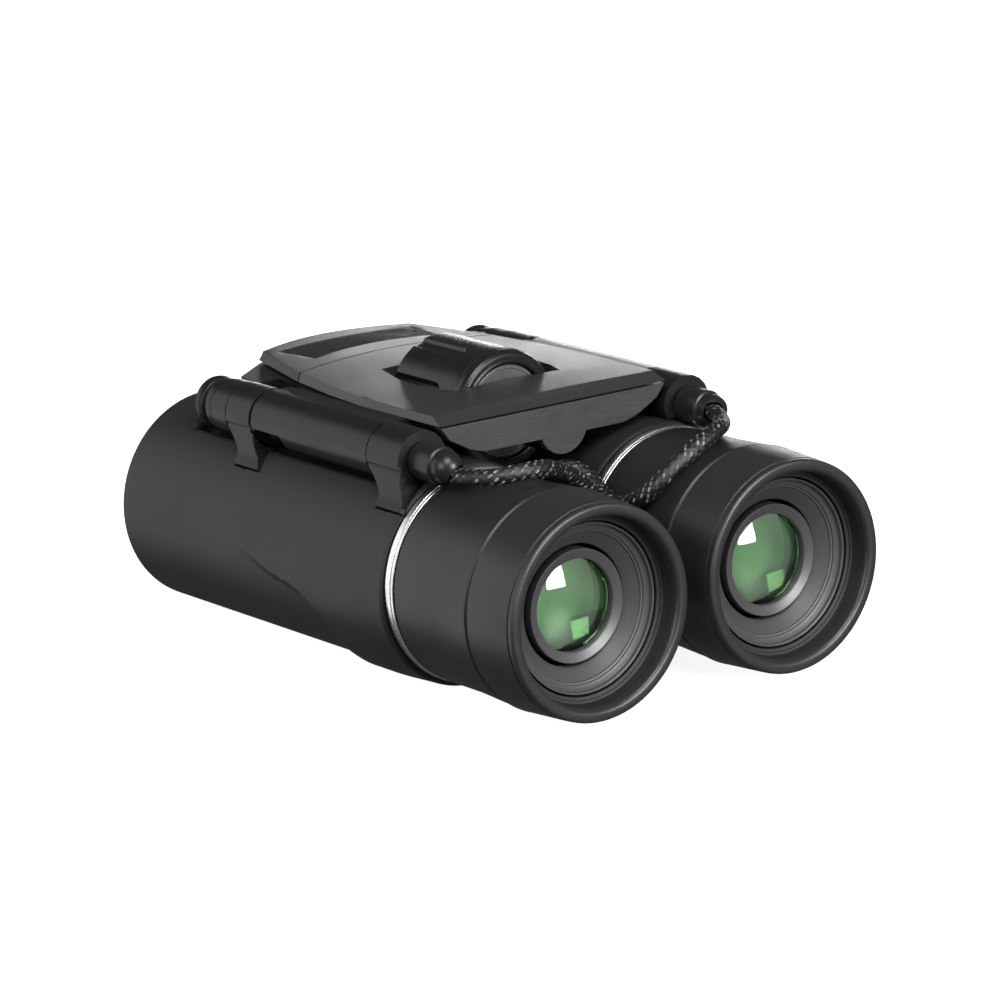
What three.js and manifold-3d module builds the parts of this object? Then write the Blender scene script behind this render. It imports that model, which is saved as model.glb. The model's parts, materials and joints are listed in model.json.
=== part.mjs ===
// Compact folding binoculars, two hinges, roof prisms, one strap cord.
// Millimetres, +Z up, +Y from the eyecups towards the objectives, X across.
// Origin: centre of the footprint, on the surface that the barrels lie on.
import * as THREE from 'three';
import { mergeVertices } from 'three/addons/utils/BufferGeometryUtils.js';
import Module from 'manifold-3d';

const wasm = await Module();
wasm.setup();

// ---- driving dimensions -------------------------------------------------
const gap = 0.3;                // clearance between neighbouring pieces
const overallLength = 95;       // eyecup lip to objective rim

const barrelGap = 3.3;          // between the two barrels' armour, folded
const armourR = 15.8;           // rubber armour outside
const armourWall = 0.9;
const tubeWall = 2.0;           // metal barrel tube
const cellWall = 1.8;           // metal round the objective lens
const thumbSwell = 0.7;         // how far the thumb rest stands out underneath
const thumbLength = 15;

const pinStandOff = 2.7;        // hinge pin axis outside the armour's surface
const pinAngle = 0.36196;       // radians from straight up, outwards, seen from the barrel
const pinR = 1.5;
const knuckleR = 4.1;           // hinge tube and lug heads

const eyecupSwell = 0.5;        // extra radius at the eyecup's root
const eyecupLength = 9.7;
const lipWall = 1.9;
const cupStepWidth = 1.2;       // inside step between the lip and the cone
const sleeveLength = 17;        // eyepiece sleeve between eyecup and trim ring
const trimWidth = 1.7;          // bright ring
const eyeLensR = 6.4;
const lensTubeR = 8.1;
const lensTubeWall = 0.9;

const coverThickness = 1.15;
const plateThickness = 1.5;     // end plate at the eyecup end of the bridge
const bridgeRearY = 31.65;
const bridgeFrontInset = 10.4;  // from the objective rim back to the bridge's front
const hingeTubeRearY = 39.2;
const rearLugY = [31.3, 38.8];
const rearFootY = [29.6, 35.6];
const lugWidth = 5.8;           // front lug, at its head and at its foot
const footLean = 3.3;           // how far the front foot sits nearer the eyecups
const knuckleWidth = 3.6;       // front knuckle of the bridge
const knuckleInset = 17.5;      // its front face, from the objective rim
const capLength = 5.7;          // nut cap on the front end of each pin
const pinHeadR = 2.75;
const pinHeadY = [23.4, 30.8];

const wheelR = 9.0;
const wheelClearance = 0.49;    // between the wheel and the barrels' armour
const wheelY = [42.8, 60.6];
const wheelGrooves = 8;
const shaftR = 1.5;
const focusTravel = 1.2;        // each way
const forkInset = 31.4;         // arm that moves both objectives, from the objective rim
const forkThickness = 1.2;
const armHeight = 2.1;
const carriageLength = 5.4;

const prismY = [36, 58];
const prismClearance = 1.6;     // from a prism's corner to the cell's radius
const bossX = 1.6;              // screw housing under the bridge, a little to the right
const bossR = 4.3;

const cordR = 1.25;
const cordHoleY = 26.6;         // the strap enters each pin's dome here
const strapCoil = { x: 17, y: 122, innerR: 10, outerR: 17.5, height: 5 };

const fine = 28, medium = 20, small = 14, tiny = 10;    // facets round a circle

// ---- derived sizes ------------------------------------------------------
const barrelX = armourR + barrelGap / 2;
const tubeOuterR = armourR - armourWall - gap;
const tubeInnerR = tubeOuterR - tubeWall;
const cellR = tubeInnerR - gap;
const objectiveR = cellR - cellWall;
const axisHeight = armourR + thumbSwell;

const pinDistance = armourR + pinStandOff;
const pinFromBarrel = [pinDistance * Math.sin(pinAngle), pinDistance * Math.cos(pinAngle)];
const pinX = barrelX + pinFromBarrel[0];
const pinZ = pinFromBarrel[1];
const boreR = pinR + gap;

const eyecupR = armourR - gap;
const rootR = eyecupR + eyecupSwell;
const cupBoreR = eyecupR - lipWall - cupStepWidth;
const coneR = rootR - lipWall - gap;
const sleeveY = [eyecupLength + gap, eyecupLength + gap + sleeveLength];
const trimY = [sleeveY[1] + gap, sleeveY[1] + gap + trimWidth];
const armourY = [trimY[1] + gap, overallLength];
const tubeFrontY = overallLength - 2.8;
const cellY = [tubeFrontY - 12.6, tubeFrontY - 3.8];

const frameBottomZ = armourR + 2 * gap;
const deckZ = pinZ + knuckleR - 0.4;                   // top of the bridge frame
const coverHalfWidth = pinX - knuckleR + 0.1;
const bridgeFrontY = overallLength - bridgeFrontInset;
const frontKnuckleY = [overallLength - knuckleInset - knuckleWidth, overallLength - knuckleInset];
const frontLugY = [frontKnuckleY[0] - 0.4 - lugWidth, frontKnuckleY[0] - 0.4];
const frontFootY = frontLugY.map((y) => y - footLean);
const hingeTubeY = [hingeTubeRearY, frontLugY[0] - 0.4];
const seamY = frontLugY[1] - 2;                        // joint between the two covers

const wheelZ = Math.sqrt((armourR + wheelR + wheelClearance) ** 2 - barrelX ** 2);
const wheelWindowY = [wheelY[0] - 0.5, wheelY[1] + 0.6];
const forkY = overallLength - forkInset;
const carriageY = [forkY + 3.2, forkY + 3.2 + carriageLength];
const armZ = [frameBottomZ + 0.1, frameBottomZ + 0.1 + armHeight];
const collarR = 3.0;
const collarFlange = 0.9;
const collarHalf = forkThickness / 2 + gap + collarFlange;
const forkReach = forkThickness / 2 + focusTravel + gap;
const collarReach = collarHalf + focusTravel + gap;
const bossZ = pinZ + 0.6;
const pinEndY = frontKnuckleY[1] + 3;

// ---- finishes -----------------------------------------------------------
const finish = (color, roughness, metalness = 0) =>
  new THREE.MeshStandardMaterial({ color, roughness, metalness });
const rubber = finish(0x1d1d1f, 0.62);
const softBlack = finish(0x161617, 0.7);
const castBlack = finish(0x1b1b1d, 0.5, 0.3);
const coverGrey = finish(0x3a3a3d, 0.42, 0.3);
const brushed = finish(0x353538, 0.45, 0.6);
const gloss = finish(0x0b0b0d, 0.08);
const bright = finish(0xd5d6d8, 0.18, 1);
const steel = finish(0x8d9094, 0.35, 1);
const glass = finish(0x6fbf7a, 0.05);
const cordBlack = finish(0x19191a, 0.85);

// ---- solid helpers ------------------------------------------------------
function solid(geometry) {
  const g = geometry.clone();
  g.deleteAttribute('normal');
  g.deleteAttribute('uv');
  const merged = mergeVertices(g, 1e-4);
  const vertProperties = new Float32Array(merged.attributes.position.array);
  const triVerts = new Uint32Array(merged.index.array);
  return new wasm.Manifold(new wasm.Mesh({ numProp: 3, vertProperties, triVerts }));
}

function toGeometry(body) {
  const m = body.getMesh();
  const g = new THREE.BufferGeometry();
  const n = m.vertProperties.length / m.numProp;
  const position = new Float32Array(n * 3);
  for (let i = 0; i < n; i++) {
    for (let k = 0; k < 3; k++) position[3 * i + k] = m.vertProperties[m.numProp * i + k];
  }
  g.setAttribute('position', new THREE.BufferAttribute(position, 3));
  g.setIndex(new THREE.BufferAttribute(new Uint32Array(m.triVerts), 1));
  g.computeVertexNormals();
  return g;
}

const join = (...bodies) => bodies.reduce((a, b) => a.add(b));
const cut = (body, ...tools) => tools.reduce((a, b) => a.subtract(b), body);

// Ring or disc about Y; the profile is [radius, y] pairs.
function turned(profile, facets = medium, closed = false) {
  const points = profile.map(([r, y]) => new THREE.Vector2(r, y));
  if (closed) points.push(points[0].clone());
  return new THREE.LatheGeometry(points, facets);
}
const ring = (inner, outer, y0, y1, facets = medium) =>
  turned([[inner, y0], [outer, y0], [outer, y1], [inner, y1]], facets, true);
const rod = (r, y0, y1, facets = small) => turned([[0, y0], [r, y0], [r, y1], [0, y1]], facets);

// Outline in X and Z, stretched from y0 to y1.
function alongY(points, y0, y1) {
  const g = new THREE.ExtrudeGeometry(new THREE.Shape(points.map(([x, z]) => new THREE.Vector2(x, z))),
    { depth: y1 - y0, bevelEnabled: false });
  g.rotateX(Math.PI / 2);
  g.translate(0, y1, 0);
  return g;
}
// Outline in X and Y, stretched from z0 to z1.
function alongZ(points, z0, z1) {
  const g = new THREE.ExtrudeGeometry(new THREE.Shape(points.map(([x, y]) => new THREE.Vector2(x, y))),
    { depth: z1 - z0, bevelEnabled: false });
  g.translate(0, 0, z0);
  return g;
}
function block(x0, x1, y0, y1, z0, z1) {
  const g = new THREE.BoxGeometry(x1 - x0, y1 - y0, z1 - z0);
  g.translate((x0 + x1) / 2, (y0 + y1) / 2, (z0 + z1) / 2);
  return g;
}
const moved = (geometry, x, y, z) => geometry.clone().translate(x, y, z);
const polar = (r, angle, cx = 0, cz = 0) => [cx + r * Math.sin(angle), cz + r * Math.cos(angle)];
const rad = THREE.MathUtils.degToRad;
const smooth = (t) => {
  const c = Math.min(1, Math.max(0, t));
  return c * c * (3 - 2 * c);
};
const mirrored = (points) => [...points, ...points.slice().reverse().map(([x, y]) => [-x, y])];

// ---- scene graph --------------------------------------------------------
const binoculars = new THREE.Group();
const body = new THREE.Group();
body.position.set(0, -overallLength / 2, axisHeight);
binoculars.add(body);

function add(name, shape, material, parent = body) {
  const mesh = new THREE.Mesh(shape.isBufferGeometry ? shape : toGeometry(shape), material);
  mesh.name = name;
  parent.add(mesh);
  return mesh;
}

// ---- barrels ------------------------------------------------------------
// Everything in a barrel is about its own axis; side is -1 left, +1 right.
const pinAxis = (side) => [side * pinFromBarrel[0], pinFromBarrel[1]];

// Clearance round the hinge tube, cut into whatever the tube lies against.
function hingeGroove(side, r, y0, y1) {
  const [x, z] = pinAxis(side);
  return solid(moved(rod(r, y0, y1, medium), x, 0, z));
}

function armour(side) {
  const [y0, y1] = armourY;
  const innerR = armourR - armourWall;
  const rimR = tubeInnerR + 0.5;
  const roundness = 2.2;
  const profile = [[innerR, y0], [armourR - 0.25, y0], [armourR, y0 + 0.4], [armourR, y1 - roundness]];
  for (let i = 1; i <= 4; i++) {
    const a = (i / 4) * Math.PI / 2;
    profile.push([armourR - roundness * (1 - Math.cos(a)), y1 - roundness * (1 - Math.sin(a))]);
  }
  profile.push([rimR, y1], [rimR, tubeFrontY + gap], [innerR, tubeFrontY + gap]);
  // stations along the thumb rest, so that its swell has something to bend
  const stations = [1.5, 13, 16, 19].map((d) => [armourR, y0 + d]);
  profile.splice(3, 0, ...stations);
  const g = turned(profile, fine, true);
  swellThumbRest(g, side, y0);
  const grooveR = knuckleR + gap + 0.4;
  return cut(solid(g),
    hingeGroove(side, grooveR, rearLugY[1] - 0.4, frontLugY[0] + 0.4),
    lugNotch(side, rearLugY, rearFootY), lugNotch(side, frontLugY, frontFootY),
    hingeGroove(side, grooveR, frontLugY[1], frontKnuckleY[1] + capLength + 4 * gap),
    hingeGroove(side, pinHeadR + gap, y0 - 1, rearLugY[0] + 0.5));
}

// The underside, towards the outside, stands out as a thumb rest.
function swellThumbRest(g, side, y0) {
  const p = g.attributes.position;
  for (let i = 0; i < p.count; i++) {
    const x = p.getX(i), y = p.getY(i), z = p.getZ(i);
    const r = Math.hypot(x, z);
    if (r < armourR - 0.3) continue;
    const outward = Math.atan2(side * x, -z);               // 0 underneath, + outside
    const round = smooth((outward + 0.75) / 0.6) * smooth((1.45 - outward) / 0.5);
    const along = smooth((y0 + thumbLength + 4 - y) / 6);
    const k = 1 + (thumbSwell * round * along) / r;
    p.setXYZ(i, x * k, y, z * k);
  }
}

function barrelTube(side) {
  const y0 = trimY[1] + gap;
  const g = ring(tubeInnerR, tubeOuterR, y0, tubeFrontY, fine);
  const [px, pz] = pinAxis(side);
  const reach = focusTravel + 2.2 + gap;
  const slot = block(-1.4, 1.4, forkY - reach, forkY + reach, tubeInnerR - 1, tubeOuterR + 2);
  slot.rotateY(side * pinAngle);
  return cut(solid(g), solid(slot),
    solid(moved(rod(knuckleR + gap, hingeTubeY[0] - 0.6, frontKnuckleY[1] + capLength + 0.9, medium),
      px, 0, pz)));
}

// Lug: a head round the pin, an arm down the outside and a foot on the barrel tube.
const footAngle = rad(47.5);
const footR = armourR + 0.35;
const bendZ = pinZ - 1;                  // below this the arm leans towards the eyecups
const leanHeight = 5.3;                  // from the bend down to the foot
const armEdgeZ = bendZ - 3.1;            // where the arm's outer edge turns in to the foot

function lugOutline(side, grow = 0) {
  const [px, pz] = pinFromBarrel;
  const inner = knuckleR * 0.9;
  const foot = footAngle + grow / armourR;
  const outline = [
    [px - inner, pz], [px - inner, bendZ], [px - inner, armEdgeZ - 1.2], [px - 0.55, armEdgeZ - 2.2],
    polar(tubeOuterR - 1, foot), polar(footR + grow, foot),
    polar(footR + 0.25 + grow, foot - rad(6)), [px + knuckleR + grow + 0.1, armEdgeZ],
    [px + knuckleR + grow - 0.1, bendZ], [px + knuckleR + grow - 0.3, pz],
  ];
  return outline.map(([x, z]) => [side * x, z]);
}

function skewFoot(g, head, foot) {
  const p = g.attributes.position;
  for (let i = 0; i < p.count; i++) {
    const y = p.getY(i);
    const along = (y - head[0]) / (head[1] - head[0]);
    const footY = foot[0] + along * (foot[1] - foot[0]);
    p.setY(i, y + (footY - y) * Math.max(0, (bendZ - p.getZ(i)) / leanHeight));
  }
  g.computeVertexNormals();
  return g;
}

function lug(side, head, foot) {
  const [px, pz] = pinAxis(side);
  const round = solid(moved(rod(knuckleR, ...head, medium), px, 0, pz));
  const arm = solid(alongY(lugOutline(side), ...head));
  const shape = cut(join(round, arm),
    solid(rod(tubeOuterR + gap, head[0] - 5, head[1] + 5, fine)),
    solid(moved(rod(boreR, head[0] - 1, head[1] + 1, small), px, 0, pz)));
  // the leaning arm still clears the pin's head and the hinge tube
  return cut(solid(skewFoot(toGeometry(shape), head, foot)),
    solid(moved(rod(pinHeadR + gap, pinHeadY[0], pinHeadY[1] + gap, medium), px, 0, pz)),
    solid(moved(rod(knuckleR + gap, hingeTubeY[0], hingeTubeY[1] + gap, medium), px, 0, pz)));
}

// Room for a lug in the armour.
function lugNotch(side, head, foot) {
  const wide = (span) => [span[0] - gap - 0.15, span[1] + gap + 0.15];
  const arm = skewFoot(alongY(lugOutline(side, gap + 0.15), ...wide(head)), wide(head), wide(foot));
  const round = moved(rod(knuckleR + gap, ...wide(head), medium), ...pinAxis(side).toSpliced(1, 0, 0));
  return join(solid(arm), solid(round));
}

// ---- objective group ----------------------------------------------------
function lensBody(r, y0, y1, bulge0, bulge1) {
  // faces bulge outwards by bulge0 at y0 and bulge1 at y1
  const steps = 3;
  const profile = [];
  for (let i = 0; i <= steps; i++) {
    const t = i / steps;
    profile.push([r * t, y0 - bulge0 * (1 - t * t)]);
  }
  for (let i = steps; i >= 0; i--) {
    const t = i / steps;
    profile.push([r * t, y1 + bulge1 * (1 - t * t)]);
  }
  return turned(profile, medium);
}

function objectiveCell() {
  const [y0, y1] = cellY;
  return turned([[objectiveR - 1, y0], [cellR, y0], [cellR, y1], [objectiveR + gap, y1],
    [objectiveR + gap, y0 + 1.5], [objectiveR - 1, y0 + 1.5]], medium, true);
}

// Collar on the hinge pin, finger through the barrel wall and rod to the objective cell.
function focusRod(side) {
  const spoolR = boreR + 0.5;
  const neck = collarHalf - collarFlange;
  const collar = turned([
    [boreR, -collarHalf], [collarR, -collarHalf], [collarR, -neck], [spoolR, -neck],
    [spoolR, neck], [collarR, neck], [collarR, collarHalf], [boreR, collarHalf],
  ], small, true);
  collar.translate(0, forkY, pinDistance);
  const finger = block(-1, 1, forkY - collarHalf, forkY - neck, cellR - 1.3, pinDistance - boreR - gap);
  const bar = block(-1, 1, forkY - collarHalf, cellY[0] - gap, cellR - 1.5, cellR - 0.1);
  const shape = toGeometry(join(solid(collar), solid(finger), solid(bar)));
  shape.rotateY(side * pinAngle);
  return shape;
}

// ---- prisms -------------------------------------------------------------
// The prisms fill the bore, so their outlines grow and shrink with it.
const prismSize = (cellR - prismClearance) / 10.7;      // the outlines below reach 10.7 mm
const prismHalf = 6.6 * prismSize;
const prismOutline = (points) => points.map(([y, z]) => [y, z * prismSize]);
const lightR = 5.6;                      // clear hole through the holder
function prismHolder() {
  const [y0, y1] = prismY;
  const drum = solid(rod(cellR, y0, y1, medium));
  const wide = prismHalf + gap;
  const pocket = solid(block(-wide, wide, y0 + 2, y1 + 1, -9 * prismSize, 8.6 * prismSize));
  const light = solid(rod(lightR, y0 - 1, y1 + 1, small));
  const sideWindow = solid(block(-cellR - 1, cellR + 1, y0 + 5, y1 - 5, -5, 5));
  return cut(drum, pocket, light, sideWindow);
}
// Outline in Y and Z, stretched to half on each side along X.
function prismBlock(points, half) {
  const shape = new THREE.Shape(points.map(([y, z]) => new THREE.Vector2(y, z)));
  const g = new THREE.ExtrudeGeometry(shape, { depth: 2 * half, bevelEnabled: false });
  const m = new THREE.Matrix4().makeBasis(new THREE.Vector3(0, 1, 0), new THREE.Vector3(0, 0, 1),
    new THREE.Vector3(1, 0, 0));
  g.applyMatrix4(m);
  g.translate(-half, 0, 0);
  return g;
}
function halfPenta() {
  const y0 = prismY[0] + 2 + gap;
  const outline = [[y0, -6.5], [y0, 6.5], [y0 + 5.4, 6.5], [y0 + 9.8, -4.1], [y0 + 5.5, -8.4]];
  return prismBlock(prismOutline(outline), prismHalf);
}
function roofPrism() {
  const y1 = prismY[1] - 1.2;
  const outline = [[y1, -7.6], [y1, 7.4], [y1 - 11.6, 7.4], [y1 - 8.6, -0.4], [y1 - 6.4, -4.6]];
  const base = solid(prismBlock(prismOutline(outline), prismHalf));
  const roof = [[-9, 8.6], [-9, 3], [0, 7.9], [9, 3], [9, 8.6]].map(([x, z]) => [x, z * prismSize]);
  return base.subtract(solid(alongY(roof, y1 - 13, y1 + 1)));
}

// ---- eyepieces ----------------------------------------------------------
const stepY = 3.0;                       // the eyecup's inside step, from the lip
const seatY = 6.2;                       // where the cone is held
function eyecup() {
  const y1 = eyecupLength;
  const inner = eyecupR - lipWall;
  return turned([
    [inner, 0.9], [inner + 0.35, 0.3], [inner + 0.9, 0], [eyecupR - 0.5, 0], [eyecupR - 0.1, 0.3],
    [eyecupR, 0.8], [rootR - 0.05, y1 - 1.2], [rootR, y1 - 0.4], [rootR - 0.3, y1],
    [rootR - lipWall, y1], [rootR - lipWall, seatY], [cupBoreR, seatY], [cupBoreR, stepY],
  ], fine, true);
}
function eyepieceCone() {
  const outer = cupBoreR - gap;
  const skirt = coneR - 1.2;
  const bore = lensTubeR + 2 * gap;
  const mouth = outer - 1.5;
  return turned([
    [outer, stepY + 0.1], [outer, seatY], [coneR, seatY + 0.4], [coneR, seatY + 5.4], [skirt, seatY + 5.4],
    [skirt, seatY + 1.4], [bore, seatY + 1.2], [bore, seatY], [mouth, 4.9], [mouth, 4.2],
  ], fine, true);
}
function eyepieceSleeve() {
  const [y0, y1] = sleeveY;
  const bore = coneR + gap;
  const endWall = 1.8;
  const tubeBore = lensTubeR + 1.1;
  return turned([
    [bore, y0], [rootR - 0.45, y0], [rootR - 0.15, y0 + 0.4], [eyecupR - 0.05, y0 + 8], [eyecupR - 0.1, y1],
    [tubeBore, y1], [tubeBore, y1 - endWall], [bore, y1 - endWall],
  ], fine, true);
}
const lensTubeY = [seatY + 0.8, 25.4];
function lensTube() {
  return ring(lensTubeR - lensTubeWall, lensTubeR, ...lensTubeY, medium);
}
function retainingRing() {
  const y1 = lensTubeY[0] - gap;
  const bore = eyeLensR + gap;
  return turned([[bore, y1 - 0.8], [bore + gap, y1 - 1.3], [lensTubeR - 0.4, y1 - 1.5], [lensTubeR, y1 - 1.1],
    [lensTubeR, y1], [bore, y1]], medium, true);
}

function barrel(side) {
  const name = side < 0 ? 'left' : 'right';
  const group = new THREE.Group();
  group.position.x = side * barrelX;
  body.add(group);
  const put = (part, shape, material) => add(`${name}_${part}`, shape, material, group);
  put('armour', armour(side), rubber);
  put('barrel_tube', barrelTube(side), castBlack);
  put('rear_lug', lug(side, rearLugY, rearFootY), castBlack);
  put('front_lug', lug(side, frontLugY, frontFootY), castBlack);
  put('objective_cell', objectiveCell(), castBlack);
  put('objective_lens', lensBody(objectiveR, cellY[0] + 3, cellY[1] - 2.4, 1.0, 1.2), glass);
  put('objective_lock_ring', ring(objectiveR - 0.6, objectiveR, cellY[1] - 2.1, cellY[1]), castBlack);
  put('objective_bezel', turned([[objectiveR + 0.2, tubeFrontY - 1.6], [cellR, tubeFrontY - 1.6],
    [cellR, tubeFrontY], [objectiveR + 0.9, tubeFrontY]], medium, true), softBlack);
  put('focus_rod', focusRod(side), steel);
  put('prism_holder', prismHolder(), castBlack);
  put('half_penta_prism', halfPenta(), glass);
  put('roof_prism', roofPrism(), glass);
  put('trim_ring', ring(tubeInnerR, eyecupR, ...trimY, fine), bright);
  put('eyepiece_sleeve', eyepieceSleeve(), softBlack);
  put('eyecup', eyecup(), rubber);
  put('eyepiece_cone', eyepieceCone(), softBlack);
  put('lens_tube', lensTube(), castBlack);
  put('eye_lens_ring', retainingRing(), gloss);
  put('eye_lens', lensBody(eyeLensR, 6.9, 8.9, 1.1, 0.6), glass);
  put('field_lens', lensBody(lensTubeR - lensTubeWall - gap, 20.5, 23.0, 0.9, 0.5), glass);
}

// ---- bridge -------------------------------------------------------------
const coverRearY = bridgeRearY + 2.35;   // the covers' flat top starts here
const sideSlope = 0.45;                  // how far a cover's side leans out at the bottom
const noseHalf = coverHalfWidth - 6.5;
const seamHalf = coverHalfWidth - 2.3;
const seamFall = 2.3;
// Side edge of the top cover in plan, from its rear corner to the seam.
const sidePoints = [[coverHalfWidth, coverRearY], [coverHalfWidth + 0.2, 50], [coverHalfWidth - 0.6, 59]];
// Curve across the bridge: y at the middle, falling to the sides.
function crossCurve(half, yMiddle, fall, steps = 8) {
  const points = [];
  for (let i = 0; i <= steps; i++) {
    const x = half - (2 * half * i) / steps;
    points.push([x, yMiddle - fall * (x / half) ** 2]);
  }
  return points;
}

function wheelWindow() {
  const [y0, y1] = wheelWindowY;
  return mirrored([[wheelR + 0.4, y0], [wheelR + 1.6, y0 + 3.7], [wheelR + 2, y0 + 7.7],
    [wheelR + 1.6, y0 + 12.7], [wheelR - 0.2, y1 + 0.1]]);
}

// Plate with a sloped edge: wide at the bottom, narrower on top.
function chamferedPlate(outline, z0, z1, inset) {
  const g = alongZ(outline, z0, z1);
  const p = g.attributes.position;
  for (let i = 0; i < p.count; i++) {
    if (p.getZ(i) > z1 - 0.01) {
      const [x, y] = inset(p.getX(i), p.getY(i));
      p.setXY(i, x, y);
    }
  }
  g.computeVertexNormals();
  return g;
}

function topCover() {
  const side = sidePoints.map(([x, y]) => [x + sideSlope, y === coverRearY ? bridgeRearY : y]);
  const seam = crossCurve(seamHalf + sideSlope, seamY - gap / 2, seamFall);
  const left = side.slice().reverse().map(([x, y]) => [-x, y]);
  const outline = [...side, ...seam, ...left];
  const plate = chamferedPlate(outline, deckZ + gap, deckZ + gap + coverThickness, (x, y) => [
    x - Math.sign(x) * sideSlope, y < bridgeRearY + 0.1 ? coverRearY : y]);
  return cut(solid(plate), solid(alongZ(wheelWindow(), deckZ - 1, deckZ + 4)));
}

function frontCover() {
  const seam = crossCurve(seamHalf + sideSlope, seamY + gap / 2, seamFall);
  const noseY = bridgeFrontY + 3.7;
  const far = crossCurve(noseHalf + sideSlope, noseY, 3.2).reverse();
  const plate = chamferedPlate([...seam, ...far], deckZ + gap, deckZ + gap + coverThickness, (x, y) => [
    x - Math.sign(x) * sideSlope, y > noseY - 8 ? y - 0.5 : y]);
  return cut(solid(plate), solid(alongZ(inlayOutline(gap), inlayZ - gap, deckZ + 4)));
}
const inlayZ = deckZ + gap + 0.75;
function inlayOutline(grow) {
  const near = crossCurve(11 + grow, seamY + 5.1 - grow, 2.0);
  const far = crossCurve(12 + grow, seamY + 12.1 + grow, 1.4).reverse();
  return [...near, ...far];
}

function bossOutline(r) {
  const points = [];
  for (let i = 0; i <= 12; i++) {
    const a = Math.PI / 2 + (i / 12) * Math.PI;
    points.push([bossX + r * Math.sin(a), bossZ + r * Math.cos(a)]);
  }
  return [...points, [bossX - r, deckZ - 1], [bossX + r, deckZ - 1]];
}
function rearOutline() {
  // the lower edge follows the barrels
  return [[coverHalfWidth + 0.3, deckZ], [barrelX + 1.35, frameBottomZ + 2.7],
    [barrelX - 0.45, frameBottomZ + 1.7], [barrelX - 2.15, frameBottomZ + 0.8],
    [barrelX - 4.95, frameBottomZ]];
}

function rearEndPlate() {
  const outline = mirrored(rearOutline());
  const span = [bridgeRearY, bridgeRearY + plateThickness];
  return join(solid(alongY(outline, ...span)), solid(alongY(bossOutline(bossR), ...span)));
}

function bridgeFrame() {
  const rear = bridgeRearY + plateThickness + gap;
  const wingHalf = coverHalfWidth - 6;
  const slab = (half, y0, y1) => solid(block(-half, half, y0, y1, frameBottomZ, deckZ));
  const tube = (side, y0, y1) => solid(moved(rod(knuckleR, y0, y1, medium), side * pinX, 0, pinZ));
  const lugRoom = (side, y0, y1) =>
    solid(moved(rod(knuckleR + 1.2, y0, y1, medium), side * pinX, 0, pinZ));
  const rearBlock = solid(alongY(mirrored(rearOutline()), rear, hingeTubeY[0] + 0.5));
  const boss = solid(alongY(bossOutline(bossR), rear, wheelWindowY[0]));
  const keel = solid(alongY(bossOutline(bossR), wheelWindowY[1], bridgeFrontY - 4.6));
  const wing = mirrored([[pinX - 0.5, frontKnuckleY[0]], [pinX - 0.5, frontKnuckleY[1]],
    [wingHalf, bridgeFrontY]]);
  const parts = [rearBlock, boss, keel,
    slab(pinX, ...hingeTubeY), slab(pinX - knuckleR - 1.7, hingeTubeY[1] - 0.5, frontKnuckleY[0] + 0.5),
    solid(alongZ(wing, frameBottomZ, deckZ))];
  for (const side of [-1, 1]) {
    parts.push(tube(side, ...hingeTubeY), tube(side, ...frontKnuckleY));
  }
  let frame = join(...parts);
  const cuts = [
    solid(rod(wheelR + 0.5, ...wheelWindowY, fine)).translate([0, 0, wheelZ]),
    solid(block(-wheelR - 0.5, wheelR + 0.5, ...wheelWindowY, frameBottomZ - 4, deckZ + 1)),
    solid(moved(rod(shaftR + gap, bridgeRearY, shaftEndY + 4, small), 0, 0, wheelZ)),
    // room for the carriage and the arm that reaches both hinges
    solid(block(-nutHalf - 0.4, nutHalf + 0.4, wheelWindowY[1] - 0.5, carriageY[1] + focusTravel + gap,
      nutBottomZ - gap, deckZ + 1)),
    solid(block(-pinX, pinX, forkY - forkReach, forkY + forkReach, frameBottomZ - 1, armZ[1] + gap)),
  ];
  for (const side of [-1, 1]) {
    const capY = frontKnuckleY[1];
    cuts.push(solid(moved(rod(knuckleR + gap, capY, capY + capLength + 1, medium), side * pinX, 0, pinZ)));
    cuts.push(solid(moved(rod(boreR, hingeTubeY[0] - 1, frontKnuckleY[1] + 1, small), side * pinX, 0, pinZ)));
    cuts.push(lugRoom(side, frontLugY[0] - 0.15, frontLugY[1] + 0.15));
    cuts.push(solid(moved(rod(collarR + gap, forkY - collarReach, forkY + collarReach, small),
      side * pinX, 0, pinZ)));
    cuts.push(solid(alongY(collarWindow(side), forkY - collarReach, forkY + collarReach)));
  }
  return cut(frame, ...cuts);
}
// Open sector of the hinge tube, where the collar's finger swings out with the barrel.
function collarWindow(side) {
  const reach = knuckleR + 2.1;
  const [from, to] = [-118, 76].map(rad);              // from straight down, outwards
  const points = [[side * pinX, pinZ]];
  for (let i = 0; i <= 10; i++) {
    const t = from + (i / 10) * (to - from);
    points.push([side * (pinX + reach * Math.sin(t)), pinZ - reach * Math.cos(t)]);
  }
  return points;
}

function hingePin(side) {
  const [y0, y1] = pinHeadY;
  const domeLength = 3.2;
  const profile = [[0, y0]];
  for (let i = 1; i <= 5; i++) {
    const a = (i / 5) * Math.PI / 2;
    profile.push([pinHeadR * Math.sin(a), y0 + domeLength * (1 - Math.cos(a))]);
  }
  profile.push([pinHeadR, y1], [pinR, y1], [pinR, pinEndY], [0, pinEndY]);
  const pin = solid(turned(profile, small));
  const holeR = cordR + 1.5 * gap;
  const holeLength = 12;
  const hole = new THREE.CylinderGeometry(holeR, holeR, holeLength, tiny);
  hole.translate(0, 1.6 - holeLength / 2, 0);           // blind end just past the dome's middle
  const out = new THREE.Vector3(...strapExit[side]).normalize();
  hole.applyQuaternion(new THREE.Quaternion().setFromUnitVectors(new THREE.Vector3(0, -1, 0), out));
  return cut(pin, solid(hole).translate([0, cordHoleY, 0])).translate([side * pinX, 0, pinZ]);
}
const strapExit = { [-1]: [0.2, -0.9, -0.35], 1: [-0.34, -0.94, 0.05] };

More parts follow.
